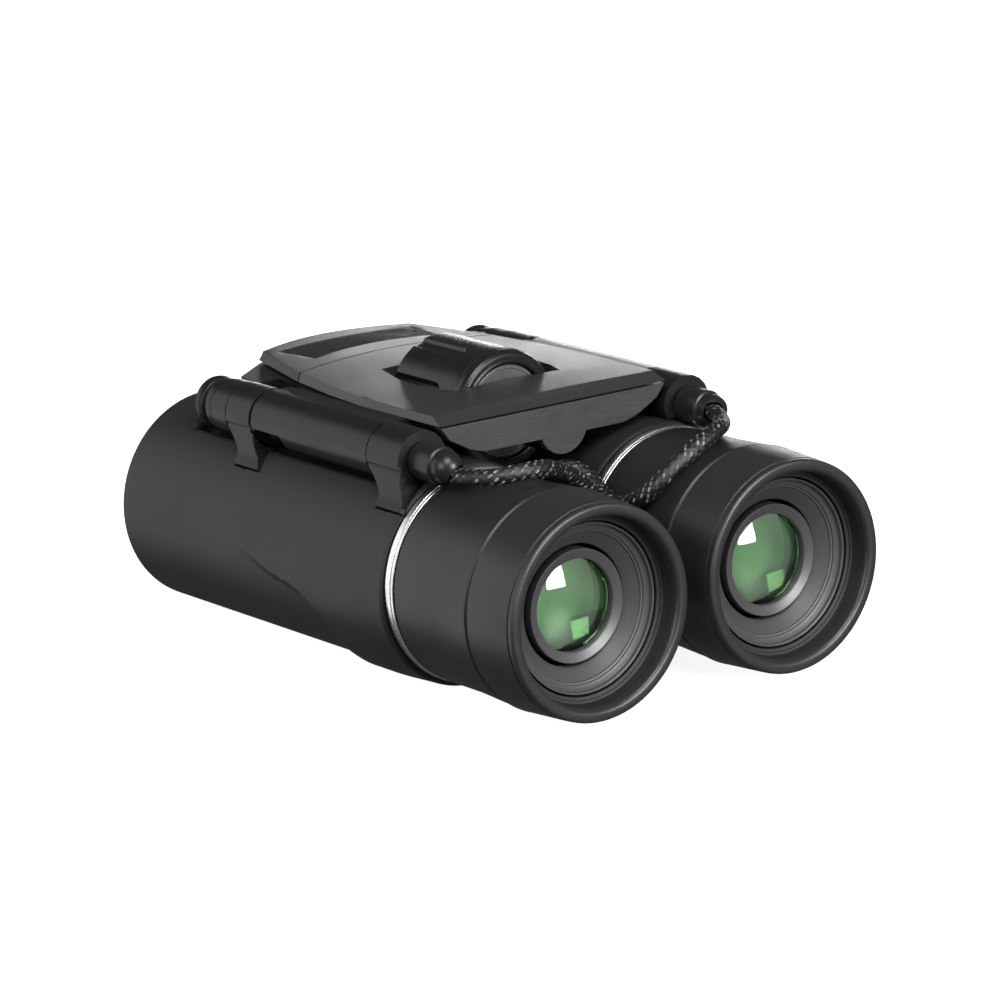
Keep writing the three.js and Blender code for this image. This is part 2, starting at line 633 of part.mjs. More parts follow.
function pinCap(side) {
  const y0 = frontKnuckleY[1] + gap;
  const y1 = y0 + capLength;
  const r = knuckleR - 0.25;
  const g = turned([[0, pinEndY + gap], [boreR, pinEndY + gap], [boreR, y0], [r, y0], [r, y1 - 1.4],
    [r - 0.5, y1 - 0.5], [r - 1.5, y1], [0, y1]], small);
  return g.translate(side * pinX, 0, pinZ);
}

// ---- focus drive --------------------------------------------------------
function focusWheel() {
  const [y0, y1] = wheelY;
  const r = wheelR;
  const drum = solid(turned([[shaftR + gap, y0 + 0.9], [r - 2, y0 + 0.9], [r - 2, y0 + 0.2], [r - 1.5, y0],
    [r - 0.9, y0], [r - 0.2, y0 + 0.5], [r, y0 + 1.2], [r, y1 - 2.4], [r - 0.7, y1 - 0.8], [r - 2, y1],
    [shaftR + gap, y1]], fine, true));
  const grooves = [];
  for (let i = 0; i < wheelGrooves; i++) {
    const a = (i + 0.5) * (2 * Math.PI / wheelGrooves);
    const g = rod(1.1, y0 + 5.2, y1 - 1.6, tiny);
    g.translate(r + 0.45, 0, 0);
    g.rotateY(a);
    grooves.push(solid(g));
  }
  return cut(drum, ...grooves).translate([0, 0, wheelZ]);
}

const nutHalf = 4.2;
const nutBottomZ = wheelZ - shaftR - 1.1;
const shaftEndY = carriageY[1] + 6.8;
function focusCarriage() {
  const [y0, y1] = carriageY;
  const fork = [forkY - forkThickness / 2, forkY + forkThickness / 2];
  const nut = solid(block(-nutHalf, nutHalf, y0, y1, nutBottomZ, deckZ - 0.2));
  const neck = solid(block(-nutHalf, nutHalf, fork[0], y0 + 0.5, nutBottomZ, armZ[1]));
  const arm = solid(block(-pinX + 1, pinX - 1, ...fork, ...armZ));
  const bores = [-1, 1].map((side) =>
    solid(moved(rod(boreR + 0.5 + gap, forkY - 2, forkY + 2, small), side * pinX, 0, pinZ)));
  const screw = solid(moved(rod(shaftR + gap, fork[0] - 1, y1 + 1, small), 0, 0, wheelZ));
  return cut(join(nut, neck, arm), screw, ...bores);
}

function bridge() {
  add('bridge_frame', bridgeFrame(), castBlack);
  add('rear_end_plate', rearEndPlate(), brushed);
  add('top_cover', topCover(), coverGrey);
  add('front_cover', frontCover(), coverGrey);
  add('name_inlay', alongZ(inlayOutline(0), inlayZ, deckZ + gap + coverThickness - 0.05), gloss);
  for (const side of [-1, 1]) {
    const name = side < 0 ? 'left' : 'right';
    add(`${name}_hinge_pin`, hingePin(side), castBlack);
    add(`${name}_pin_cap`, pinCap(side), castBlack);
  }
  add('focus_wheel', focusWheel(), softBlack);
  const disc = ring(shaftR + gap, wheelR - 2 - gap, wheelY[0] + 0.35, wheelY[0] + 0.6);
  add('focus_wheel_disc', moved(disc, 0, 0, wheelZ), brushed);
  const shaft = rod(shaftR, bridgeRearY + plateThickness + 2 * gap, shaftEndY, small);
  add('focus_shaft', moved(shaft, 0, 0, wheelZ), steel);
  add('focus_carriage', focusCarriage(), steel);
}

// ---- strap --------------------------------------------------------------
// Both strands leave a pin's dome, dip between the eyepieces, run forward under the
// bridge and drop to the surface, where the spare length is coiled.
const floorZ = -axisHeight + cordR + 0.1;
const strapLeft = [
  [-24, 26.6, 17.3], [-23.4, 23.9, 16.25], [-22.75, 20.6, 16.45], [-21.2, 17.6, 16.85], [-18.2, 16, 17.3],
  [-14.8, 16.2, 17.15], [-11.4, 17.9, 16.2], [-8.2, 20, 14.9], [-5.2, 21.5, 13.4], [-2.3, 22.8, 11.6],
  [0.1, 24.6, 9.8], [0.7, 27.4, 8.2], [0.3, 31, 6.7], [0, 36, 5.1], [0, 42, 3.6], [0, 49, 3.0], [0, 60, 3.0],
  [0, 72, 3.0], [0, 84, 3.0], [0, 93, 3.0], [-0.8, 98.4, 2.1], [-1.3, 102.3, -1.6], [-1.2, 105.2, -7.2],
  [-0.6, 107.6, -12.2], [0, 111.2, floorZ + 0.2], [0.3, 112.6, floorZ],
];
const strapRight = [
  [24, 26.6, 17.3], [23.3, 24.6, 17.45], [22.4, 22.4, 17.3], [21.2, 20.2, 17.15], [19.6, 18.1, 17.3],
  [17.6, 16.2, 17.5], [15.4, 14.9, 17.35], [13.4, 14.1, 16.95], [11.4, 13.6, 16.4], [9.4, 13.3, 15.55],
  [7.3, 13.4, 14.4], [5.4, 13.9, 12.7], [4, 14.9, 11.1], [3, 16.6, 9.6], [2.3, 20, 8.3], [2.6, 24.5, 8.9],
  [3, 28, 10.6], [1.8, 31.2, 11.7], [0.4, 34.6, 10.4], [0, 39, 8.2], [0, 44, 6.7], [0, 52, 6.3], [0, 66, 6.3],
  [0, 80, 6.3], [0, 92, 6.3], [1.1, 97.6, 5.6], [3, 100.6, 1.6], [4.8, 101.8, -4.2], [7.4, 102.2, -10.2],
  [11.8, 102.4, -14.3], [17, 102.8, floorZ], [24, 104.2, floorZ],
];

function strapTube(points) {
  const path = new THREE.CatmullRomCurve3(points.map((p) => new THREE.Vector3(...p)), false, 'centripetal');
  const section = new THREE.Shape();
  for (let i = 0; i <= 8; i++) {
    const a = (i / 8) * 2 * Math.PI;
    section[i ? 'lineTo' : 'moveTo'](cordR * Math.cos(a), cordR * Math.sin(a));
  }
  return new THREE.ExtrudeGeometry(section, {
    steps: Math.round(path.getLength() / (4 * cordR)), bevelEnabled: false, extrudePath: path });
}

function strap() {
  add('strap_left', strapTube(strapLeft), cordBlack);
  add('strap_right', strapTube(strapRight), cordBlack);
  const { x, y, innerR, outerR, height } = strapCoil;
  const coil = ring(innerR, outerR, 0, height, fine);
  coil.rotateX(Math.PI / 2);
  add('strap_coil', coil.translate(x, y, -axisHeight), cordBlack);
}

barrel(-1);
barrel(1);
bridge();
strap();

export default binoculars;
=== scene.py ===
import json
import math

import bmesh
import bpy
from mathutils import Matrix, Vector


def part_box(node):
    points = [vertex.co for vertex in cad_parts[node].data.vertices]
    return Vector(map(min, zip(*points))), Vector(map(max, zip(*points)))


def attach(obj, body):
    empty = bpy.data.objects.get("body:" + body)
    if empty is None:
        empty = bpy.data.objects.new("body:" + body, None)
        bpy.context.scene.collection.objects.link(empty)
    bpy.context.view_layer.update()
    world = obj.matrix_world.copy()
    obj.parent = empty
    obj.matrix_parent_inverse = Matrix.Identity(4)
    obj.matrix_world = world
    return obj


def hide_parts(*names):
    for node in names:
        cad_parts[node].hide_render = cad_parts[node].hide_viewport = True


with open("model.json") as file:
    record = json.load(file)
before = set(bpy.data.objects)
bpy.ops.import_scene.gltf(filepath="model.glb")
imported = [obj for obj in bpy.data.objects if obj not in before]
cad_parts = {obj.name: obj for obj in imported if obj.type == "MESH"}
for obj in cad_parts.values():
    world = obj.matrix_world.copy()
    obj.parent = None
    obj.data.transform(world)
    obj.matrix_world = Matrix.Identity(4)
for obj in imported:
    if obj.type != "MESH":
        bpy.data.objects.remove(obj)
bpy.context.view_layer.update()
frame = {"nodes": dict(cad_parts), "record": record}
cadNodes = frame["nodes"]
bodyOf = {n: b for b, members in frame["record"]["behaviour"]["bodies"].items() for n in members}

mm = 0.001
sides = {"left": -1, "right": 1}


def middle(node):
    low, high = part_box(node)
    return (low + high) / 2


# x is across, y runs from the eyecup lips to the objectives and z is up from the barrel axes
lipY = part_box("left_eyecup")[0].y
axisHeight = middle("left_trim_ring").z
barrelX = middle("right_trim_ring").x / mm
pinX = middle("right_pin_cap").x / mm
pinZ = (middle("right_pin_cap").z - axisHeight) / mm
wheelZ = (middle("focus_wheel").z - axisHeight) / mm


def at(x, y, z):
    return Vector((x * mm, lipY + y * mm, axisHeight + z * mm))


def along(node):
    low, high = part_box(node)
    return (low.y - lipY) / mm, (high.y - lipY) / mm


# angles are in degrees, and the target is in mm from the eyecup lips and the barrel axes
shot = {
    "azimuth": -37.13, "elevation": 14.33, "roll": -1.83, "lens": 189.1,
    "distance": 751.3, "target": (-6.65, 36.47, 7.43),
}


def makeCamera():
    azimuth, elevation, roll = (math.radians(shot[key]) for key in ("azimuth", "elevation", "roll"))
    flat = math.cos(elevation)
    back = Vector((math.sin(azimuth) * flat, -math.cos(azimuth) * flat, math.sin(elevation)))
    right = Vector((0, 0, 1)).cross(back).normalized()
    up = back.cross(right)
    rolledRight = right * math.cos(roll) + up * math.sin(roll)
    rolledUp = up * math.cos(roll) - right * math.sin(roll)
    camera = bpy.data.objects.new("camera", bpy.data.cameras.new("camera"))
    camera.data.lens = shot["lens"]
    camera.data.clip_start, camera.data.clip_end = 0.05, 20
    turn = Matrix((rolledRight, rolledUp, back)).transposed().to_4x4()
    place = at(*shot["target"]) + back * shot["distance"] * mm
    camera.matrix_world = Matrix.Translation(place) @ turn
    bpy.context.collection.objects.link(camera)
    bpy.context.scene.camera = camera


makeCamera()
print("camera placed")


# a node's output, on which sums can be written
class Wire:
    def __init__(self, shader, socket):
        self.shader, self.socket = shader, socket

    def maths(self, operation, *values):
        return self.shader.node("Math", {"operation": operation}, dict(enumerate(values)))

    def __add__(self, other):
        return self.maths("ADD", self, other)

    def __sub__(self, other):
        return self.maths("SUBTRACT", self, other)

    def __rsub__(self, other):
        return self.maths("SUBTRACT", other, self)

    def __mul__(self, other):
        return self.maths("MULTIPLY", self, other)

    __radd__, __rmul__ = __add__, __mul__

    def floor(self):
        return self.maths("FLOOR", self)

    def fraction(self):
        return self.maths("FRACT", self)

    def sine(self):
        return self.maths("SINE", self)

    def step(self, low, high):
        return self.shader.node("MapRange", {"interpolation_type": "SMOOTHSTEP"},
                                {"Value": self, "From Min": low, "From Max": high})


class Shader:
    def __init__(self, name, **fixed):
        self.material = bpy.data.materials.new(name)
        self.material.use_nodes = True
        self.tree = self.material.node_tree
        self.surface = self.tree.nodes["Principled BSDF"]
        for socket, value in fixed.items():
            self.surface.inputs[socket.replace("_", " ")].default_value = value

    def node(self, kind, settings, values, output=0):
        made = self.tree.nodes.new("ShaderNode" + kind)
        for key, value in settings.items():
            setattr(made, key, value)
        for key, value in values.items():
            self.feed(made.inputs[key], value)
        return Wire(self, made.outputs[output])

    def feed(self, socket, value):
        if isinstance(value, Wire):
            self.tree.links.new(value.socket, socket)
        else:
            socket.default_value = value

    def set(self, **wires):
        for socket, wire in wires.items():
            self.feed(self.surface.inputs[socket.replace("_", " ")], wire)
        return self.material

    def place(self, stretch=(1, 1, 1)):
        spot = self.node("TexCoord", {}, {}, "Object")
        return self.node("Mapping", {}, {"Vector": spot, "Scale": stretch})

    def noise(self, size, detail=2, stretch=(1, 1, 1), roughness=0.55):
        return self.node("TexNoise", {}, {"Vector": self.place(stretch), "Scale": 1 / (size * mm),
                                          "Detail": detail, "Roughness": roughness})

    def blend(self, amount, first, second):
        # sockets 6 and 7 are the colours A and B, and output 2 is their mix
        return self.node("Mix", {"data_type": "RGBA"}, {"Factor": amount, 6: first, 7: second}, 2)

    def bump(self, height, depth):
        return self.node("Bump", {}, {"Height": height, "Distance": depth * mm, "Strength": 1.0})


def grey(value, blue=1.03):
    return (value, value, value * blue, 1)


def grainy(name, look):
    # moulded or painted surface: fine grain, slow mottle, a few dust specks
    shader = Shader(name, Specular_IOR_Level=look.get("specular", 0.5), Metallic=look.get("metallic", 0))
    grain = shader.noise(look["grain"], 3)
    mottle = shader.noise(9, 2)
    dust = shader.noise(0.22, 1).step(0.73, 0.80) * shader.noise(2.4, 1).step(0.45, 0.7)
    tone = (mottle - 0.5) * look.get("uneven", 0.25) + (grain - 0.5) * look.get("fleck", 0.3) + 0.5
    colour = shader.blend(tone, grey(look["colour"] * 0.6), grey(look["colour"] * 1.4))
    colour = shader.blend(dust * look.get("dust", 0.05), colour, grey(0.4))
    rough = look["roughness"] + (mottle - 0.5) * 0.12 + (grain - 0.5) * 0.1
    return shader.set(Base_Color=colour, Roughness=rough, Normal=shader.bump(grain, look["depth"]))


def brushed(name, look):
    # machined face with lines along one axis
    shader = Shader(name, Metallic=look["metallic"], Specular_IOR_Level=0.5)
    lines = shader.noise(look["line"], 4, look["stretch"], 0.7)
    mottle = shader.noise(7, 2)
    colour = shader.blend((lines - 0.5) * 1.3 + (mottle - 0.5) * 0.5 + 0.5,
                          grey(look["colour"] * 0.5), grey(look["colour"] * 1.5))
    rough = look["roughness"] + (lines - 0.5) * 0.3
    return shader.set(Base_Color=colour, Roughness=rough, Normal=shader.bump(lines, look["depth"]))


finishes = {
    "armour": grainy("armour_rubber", {
        "colour": 0.017, "roughness": 0.5, "grain": 0.16, "depth": 0.02, "uneven": 0.3, "fleck": 0.6,
        "specular": 0.38}),
    "eyecup": grainy("eyecup_rubber", {
        "colour": 0.019, "roughness": 0.36, "grain": 0.14, "depth": 0.012, "fleck": 0.5, "dust": 0.1}),
    "sleeve": grainy("sleeve_plastic", {
        "colour": 0.014, "roughness": 0.4, "grain": 0.2, "depth": 0.008, "specular": 0.42}),
    "cone": grainy("cone_plastic", {
        "colour": 0.05, "roughness": 0.42, "grain": 0.12, "depth": 0.02, "fleck": 0.7, "dust": 0.14}),
    "casting": grainy("painted_casting", {
        "colour": 0.009, "roughness": 0.33, "grain": 0.25, "depth": 0.014, "specular": 0.32}),
    "cover": grainy("cover_satin", {
        "colour": 0.026, "roughness": 0.33, "grain": 0.11, "depth": 0.018, "fleck": 0.9, "uneven": 0.2}),
    "wheel": grainy("wheel_plastic", {
        "colour": 0.008, "roughness": 0.27, "grain": 0.3, "depth": 0.0015, "specular": 0.4}),
    "pin": grainy("pin_enamel", {
        "colour": 0.02, "roughness": 0.33, "grain": 0.2, "depth": 0.006, "metallic": 0.4}),
    "inlay": grainy("inlay_gloss", {
        "colour": 0.006, "roughness": 0.06, "grain": 1.2, "depth": 0.001, "dust": 0.03}),
    "retainer": grainy("retainer_satin", {
        "colour": 0.055, "roughness": 0.36, "grain": 0.12, "depth": 0.006}),
    "cell": grainy("blackened_cell", {
        "colour": 0.006, "roughness": 0.6, "grain": 0.2, "depth": 0.01}),
    "plate": brushed("brushed_plate", {
        "colour": 0.05, "metallic": 0.4, "roughness": 0.4, "line": 0.12, "stretch": (0.03, 1, 1),
        "depth": 0.01}),
    "disc": brushed("brushed_disc", {
        "colour": 0.09, "metallic": 0.5, "roughness": 0.42, "line": 0.1, "stretch": (1, 1, 0.08),
        "depth": 0.01}),
    "ring": brushed("polished_ring", {
        "colour": 0.86, "metallic": 1.0, "roughness": 0.3, "line": 0.1, "stretch": (1, 0.2, 1),
        "depth": 0.001}),
    "steel": brushed("machined_steel", {
        "colour": 0.4, "metallic": 1.0, "roughness": 0.35, "line": 0.1, "stretch": (1, 0.05, 1),
        "depth": 0.004}),
}


def clearGlass():
    shader = Shader("clear_glass", Transmission_Weight=1.0, Roughness=0.0, IOR=1.52)
    haze = shader.noise(4, 2)
    return shader.set(Base_Color=shader.blend(haze, (0.78, 0.96, 0.8, 1), (0.9, 1, 0.88, 1)))


def coatedGlass(name, colour, seeThrough):
    # one coated face: a tinted mirror that lets part of the light by
    shader = Shader(name, Metallic=1.0, Roughness=0.03)
    haze = shader.noise(5, 1)
    deep = tuple(c * 0.6 for c in colour)
    return shader.set(Base_Color=shader.blend(haze, (*deep, 1), (*colour, 1)),
                      Alpha=(haze - 0.5) * 0.03 + (1 - seeThrough))


def deepGlass():
    shader = Shader("deep_glass", Roughness=0.25, Specular_IOR_Level=0.8)
    cloud = shader.noise(3.5, 2)
    return shader.set(Base_Color=shader.blend(cloud, (0.003, 0.035, 0.005, 1), (0.03, 0.2, 0.03, 1)))


finishes["glass"] = clearGlass()
finishes["coat"] = coatedGlass("green_coating", (0.45, 0.85, 0.35), 0.975)
finishes["deep"] = deepGlass()
print("finishes mixed")


def finishPiece(name, bm, node, finish, replaced=None, sharp=32):
    # a piece stands for the node that it rides with, unless it is given other nodes or none
    mesh = bpy.data.meshes.new(name)
    bm.to_mesh(mesh)
    bm.free()
    mesh.polygons.foreach_set("use_smooth", [True] * len(mesh.polygons))
    mesh.set_sharp_from_angle(angle=math.radians(sharp))
    mesh.materials.append(finishes[finish])
    piece = bpy.data.objects.new(name, mesh)
    bpy.context.collection.objects.link(piece)
    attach(piece, bodyOf[node])
    replaced = (node,) if replaced is None else replaced
    if replaced:
        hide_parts(*replaced)
    return piece


def filleted(points, closed=True, arc=5):
    # a point's third number rounds its corner
    out = []
    for i, (x, y, *size) in enumerate(points):
        here = Vector((x, y))
        if not size or (not closed and i in (0, len(points) - 1)):
            out.append(here)
            continue
        before = Vector(points[i - 1][:2]) - here
        after = Vector(points[(i + 1) % len(points)][:2]) - here
        reach = size[0] / math.tan(before.angle(after) / 2)
        reach = min(reach, before.length * 0.49, after.length * 0.49)
        start, end = here + before.normalized() * reach, here + after.normalized() * reach
        for k in range(arc + 1):
            t = k / arc
            out.append(start * (1 - t) ** 2 + here * (2 * t * (1 - t)) + end * t * t)
    return out


def spun(profile, x=0, z=0, turns=144, closed=True):
    # the profile's points are radius and y
    bm = bmesh.new()
    verts = [bm.verts.new(at(x + p[0], p[1], z)) for p in profile]
    edges = [bm.edges.new(pair) for pair in zip(verts, verts[1:])]
    if closed:
        edges.append(bm.edges.new((verts[-1], verts[0])))
    bmesh.ops.spin(bm, geom=verts + edges, cent=at(x, 0, z), axis=(0, 1, 0), dvec=(0, 0, 0),
                   angle=2 * math.pi, steps=turns, use_merge=True)
    bmesh.ops.remove_doubles(bm, verts=bm.verts, dist=1e-3 * mm)
    bmesh.ops.recalc_face_normals(bm, faces=bm.faces)
    return bm


def dome(r, y, bulge, steps=10):
    # points of a lens face from the axis out to its rim; bulge towards -y is negative
    return [(r * i / steps, y + bulge * (1 - (i / steps) ** 2)) for i in range(steps + 1)]


def designedShape(node):
    # a node's mesh with its loose triangles joined
    bm = bmesh.new()
    bm.from_mesh(cadNodes[node].data)
    bmesh.ops.remove_doubles(bm, verts=bm.verts, dist=0.004 * mm)
    return bm


def mergeFacets(bm):
    bmesh.ops.dissolve_limit(bm, angle_limit=math.radians(1), verts=bm.verts, edges=bm.edges)


def cutAcross(bm, spot, normal):
    bmesh.ops.bisect_plane(bm, geom=bm.verts[:] + bm.edges[:] + bm.faces[:], plane_co=spot,
                           plane_no=normal, dist=1e-5 * mm)


def roundEdges(piece, width, segments, angle):
    rounding = piece.modifiers.new("edges", "BEVEL")
    rounding.width, rounding.segments = width * mm, segments
    rounding.limit_method, rounding.angle_limit = "ANGLE", math.radians(angle)
    rounding.harden_normals = True


def applyModifiers(piece):
    seen = piece.evaluated_get(bpy.context.evaluated_depsgraph_get())
    mesh = bpy.data.meshes.new_from_object(seen)
    old, piece.data = piece.data, mesh
    piece.modifiers.clear()
    bpy.data.meshes.remove(old)


lug = {"top": pinZ - 1.6, "foot": 11.3, "cuts": 8, "waist": 0.2, "proud": 0.16, "headR": (3.9, 4.4)}


def waist(bm, side):
    # a lug's arm narrows between its head and its foot
    # its head stands a little proud of the hinge tube
    top, foot = lug["top"], lug["foot"]
    for i in range(lug["cuts"] + 1):
        cutAcross(bm, at(0, 0, foot + (top - foot) * i / lug["cuts"]), (0, 0, 1))
    heights = {}
    for vert in bm.verts:
        heights.setdefault(round(vert.co.z / mm, 2), []).append(vert.co.y)
    middleAt = {z: (min(ys) + max(ys)) / 2 for z, ys in heights.items()}
    for vert in bm.verts:
        z = (vert.co.z - axisHeight) / mm
        t = (top - z) / (top - foot)
        if 0 < t < 1:
            middleY = middleAt[round(vert.co.z / mm, 2)]
            vert.co.y = middleY + (vert.co.y - middleY) * (1 - lug["waist"] * math.sin(math.pi * t))
        x, up = vert.co.x / mm - side * pinX, z - pinZ
        distance = math.hypot(x, up)
        if up > -1 and lug["headR"][0] < distance < lug["headR"][1]:
            vert.co.x += x / distance * lug["proud"] * mm
            vert.co.z += up / distance * lug["proud"] * mm


def refined(node, finish, bevel, sharp=30, segments=2, shape=None):
    # the designed shape, with its facets merged and its edges rounded
    bm = designedShape(node)
    mergeFacets(bm)
    if shape:
        shape(bm)
    piece = finishPiece(node + "_fine", bm, node, finish, sharp=sharp)
    roundEdges(piece, bevel, segments, sharp)


# the coil is given by its middle and its outer and inner turns; drop is from one layer to the next
cord = {
    "radius": 1.25, "strands": 6, "pitch": 1.3, "around": 30, "step": 0.29, "relief": 0.2,
    "coil": (17, 122), "coilR": (16.25, 11.25), "turnsIn": 2.95, "turnsOut": 2.5, "climb": 0.3, "drop": 2.5,
}
floorLine = -axisHeight / mm + cord["radius"] + 0.1
cordLeft = [
    (-24, 26.6, 17.3), (-23.4, 23.9, 16.25), (-22.75, 20.6, 16.45), (-21.2, 17.6, 16.85),
    (-18.2, 16, 17.3), (-14.8, 16.2, 17.15), (-11.4, 17.9, 16.2), (-8.2, 20, 14.9), (-5.2, 21.5, 13.4),
    (-2.3, 22.8, 11.6), (0.1, 24.6, 9.8), (0.7, 27.4, 8.2), (0.3, 31, 6.7), (0, 36, 5.1), (0, 42, 3.6),
    (0, 49, 3.0), (0, 60, 3.0), (0, 72, 3.0), (0, 84, 3.0), (0, 93, 3.0), (-0.8, 98.4, 2.1),
    (-1.3, 102.3, -1.6), (-1.2, 105.2, -7.2), (-0.6, 107.6, -12.2), (0, 111.2, floorLine + 0.2),
    (0.3, 112.6, floorLine), (0.55, 116.5, floorLine),
]
cordRight = [
    (24, 26.6, 17.3), (23.3, 24.6, 17.45), (22.4, 22.4, 17.3), (21.2, 20.2, 17.15), (19.6, 18.1, 17.3),
    (17.6, 16.2, 17.5), (15.4, 14.9, 17.35), (13.4, 14.1, 16.95), (11.4, 13.6, 16.4), (9.4, 13.3, 15.55),
    (7.3, 13.4, 14.4), (5.4, 13.9, 12.7), (4, 14.9, 11.1), (3, 16.6, 9.6), (2.3, 20, 8.3), (2.6, 24.5, 8.9),
    (3, 28, 10.6), (1.8, 31.2, 11.7), (0.4, 34.6, 10.4), (0, 39, 8.2), (0, 44, 6.7), (0, 52, 6.3),
    (0, 66, 6.3), (0, 80, 6.3), (0, 92, 6.3), (1.1, 97.6, 5.6), (3, 100.6, 1.6), (4.8, 101.8, -4.2),
    (7.4, 102.2, -10.2), (11.8, 102.4, -14.3), (17, 102.8, floorLine), (24, 104.2, floorLine),
]


def coilPoints():
    # nearly three turns in on the floor, then two and a half turns out on top of them
    (cx, cy), (outer, inner) = cord["coil"], cord["coilR"]
    down, up, perTurn = cord["turnsIn"], cord["turnsOut"], 24
    out = []
    total = up * perTurn + down * perTurn + 2
    for i in range(int(total) + 1):
        turn = i / perTurn
        angle = math.pi - 2 * math.pi * turn
        if turn <= down:
            r = outer - (outer - inner) * turn / down
            lift = 0
        else:
            r = inner + (outer - inner) * (turn - down) / (total / perTurn - down)
            lift = min(1, (turn - down) / cord["climb"]) * cord["drop"]
        out.append((cx + r * math.cos(angle), cy + r * math.sin(angle), floorLine + lift))
    return out


def smoothLine(points, step):
    # centripetal curve through the points, then evenly spaced
    p = [Vector(q) for q in points]
    p = [p[0] * 2 - p[1]] + p + [p[-1] * 2 - p[-2]]
    fine = []
    for a, b, c, d in zip(p, p[1:], p[2:], p[3:]):
        t1 = math.sqrt((b - a).length)
        t2 = t1 + math.sqrt((c - b).length)
        t3 = t2 + math.sqrt((d - c).length)
        for k in range(16):
            t = t1 + (t2 - t1) * k / 16
            ab, bc = a.lerp(b, t / t1), b.lerp(c, (t - t1) / (t2 - t1))
            cd = c.lerp(d, (t - t2) / (t3 - t2))
            abc, bcd = ab.lerp(bc, t / t2), bc.lerp(cd, (t - t1) / (t3 - t1))
            fine.append(abc.lerp(bcd, (t - t1) / (t2 - t1)))
    fine.append(p[-2])
    lengths = [0]
    for a, b in zip(fine, fine[1:]):
        lengths.append(lengths[-1] + (b - a).length)
    count = round(lengths[-1] / step)
    even, k = [], 0
    for i in range(count + 1):
        want = lengths[-1] * i / count
        while k < len(fine) - 2 and lengths[k + 1] < want:
            k += 1
        even.append(fine[k].lerp(fine[k + 1], (want - lengths[k]) / (lengths[k + 1] - lengths[k])))
    return even, lengths[-1]


def braidHeight(u, v):
    # two families of strands that pass over and under each other; 1 on a crown, 0 in a valley
    a, b = u + v, u - v
    over, under = (a, b) if (math.floor(a) + math.floor(b)) % 2 else (b, a)
    crown = math.sin(math.pi * (over % 1)) ** 0.6
    return crown * (0.75 + 0.25 * math.sin(math.pi * (under % 1)))


def cordFinish():
    shader = Shader("braided_cord", Specular_IOR_Level=0.6)
    spot = shader.node("UVMap", {"uv_map": "braid"}, {})
    u = shader.node("SeparateXYZ", {}, {"Vector": spot}, "X")
    v = shader.node("SeparateXYZ", {}, {"Vector": spot}, "Y")
    a, b = u + v, u - v
    cell = shader.node("CombineXYZ", {}, {"X": a.floor(), "Y": b.floor()})
    chance = shader.node("TexWhiteNoise", {"noise_dimensions": "2D"}, {"Vector": cell})
    middleOf = (a.fraction() * math.pi).sine() * (b.fraction() * math.pi).sine()
    threads = (a * 44.0).sine() * 0.5 + (b * 44.0).sine() * 0.5  # seven threads to a strand
    # painted glint: light streaks lie along some of the strands, and stop where they dip under the next ones
    glint_streak = (a.fraction() * math.pi).sine().step(0.80, 0.97)
    glint_streak = glint_streak * (b.fraction() * math.pi).sine().step(0.25, 0.7)
    fleck = glint_streak * chance.step(0.3, 0.9)
    # the flecks are painted glints, a lighter colour where the strands would catch the lamps
    colour = shader.blend(fleck, grey(0.006), grey(0.26))
    # painted shade: each strand darkens to near black towards its edges, in the valleys between its
    # neighbours
    colour = shader.blend((1 - middleOf).step(0.6, 1.0), colour, grey(0.002))
    fuzz = shader.noise(0.12, 3)
    height = threads * 0.3 + fuzz
    return shader.set(Base_Color=colour, Roughness=0.42 - fleck * 0.1, Normal=shader.bump(height, 0.03))


finishes["cord"] = cordFinish()


def makeCord():
    points = cordLeft + coilPoints()[4:] + [(28.6, 109.4, floorLine + 1.2)] + cordRight[::-1]
    line, length = smoothLine(points, cord["step"])
    curve = bpy.data.curves.new("neck_cord_line", "CURVE")
    curve.dimensions = "3D"
    curve.bevel_depth = cord["radius"] * mm
    curve.bevel_resolution = cord["around"] // 2 - 2
    spline = curve.splines.new("POLY")
    spline.points.add(len(line) - 1)
    spline.points.foreach_set("co", [c for p in line for c in (*at(*p), 1)])
    source = bpy.data.objects.new("neck_cord_line", curve)
    bpy.context.collection.objects.link(source)
    seen = source.evaluated_get(bpy.context.evaluated_depsgraph_get())
    mesh = bpy.data.meshes.new_from_object(seen)
    bpy.data.objects.remove(source)
    around = cord["around"]
    bm = bmesh.new()
    bm.from_mesh(mesh)
    bmesh.ops.holes_fill(bm, edges=bm.edges, sides=around)
    layer = bm.loops.layers.uv.new("braid")
    bm.verts.ensure_lookup_table()
    perStep = length / (len(line) - 1) / cord["pitch"]
    for i, vert in enumerate(bm.verts):
        ring, spoke = divmod(i, around)
        centre = at(*line[min(ring, len(line) - 1)])
        height = braidHeight(ring * perStep, spoke * cord["strands"] / around)
        vert.co = centre + (vert.co - centre) * (1 - cord["relief"] * (1 - height))
    for face in bm.faces:
        spokes = [loop.vert.index % around for loop in face.loops]
        wraps = max(spokes) - min(spokes) > around / 2
        for loop, spoke in zip(face.loops, spokes):
            turned = spoke + around if wraps and spoke < around / 2 else spoke
            loop[layer].uv = (loop.vert.index // around * perStep, turned * cord["strands"] / around)
    strap = ("strap_left", "strap_right", "strap_coil")
    piece = finishPiece("neck_cord", bm, "strap_left", "cord", strap, 180)
    bpy.data.meshes.remove(mesh)
    tuple(at(*cordLeft[0]))
    length * mm
    [tuple(at(*p)) for p in line]


makeCord()
print("neck cord laid")

armour = {
    "radius": 15.8, "wall": 0.9, "lugGap": 0.4, "knuckleR": 4.8, "capGap": 0.9, "knobR": 3.05,
    "hinge": (34, 73.5), "knobEnd": 31.8,
}
# the thumb rest's edge is given by degrees from the top and y
thumb = {
    "rise": 0.85, "blend": 1.5, "fadeIn": (78, 112), "fadeOut": (178, 222),
    "edge": [(60, 66.4), (87, 66.4), (98, 56.7), (103, 49.8), (117, 44.5), (142, 44.2), (180, 43.5),
             (215, 41)],
}
armourSpan = along("left_armour")


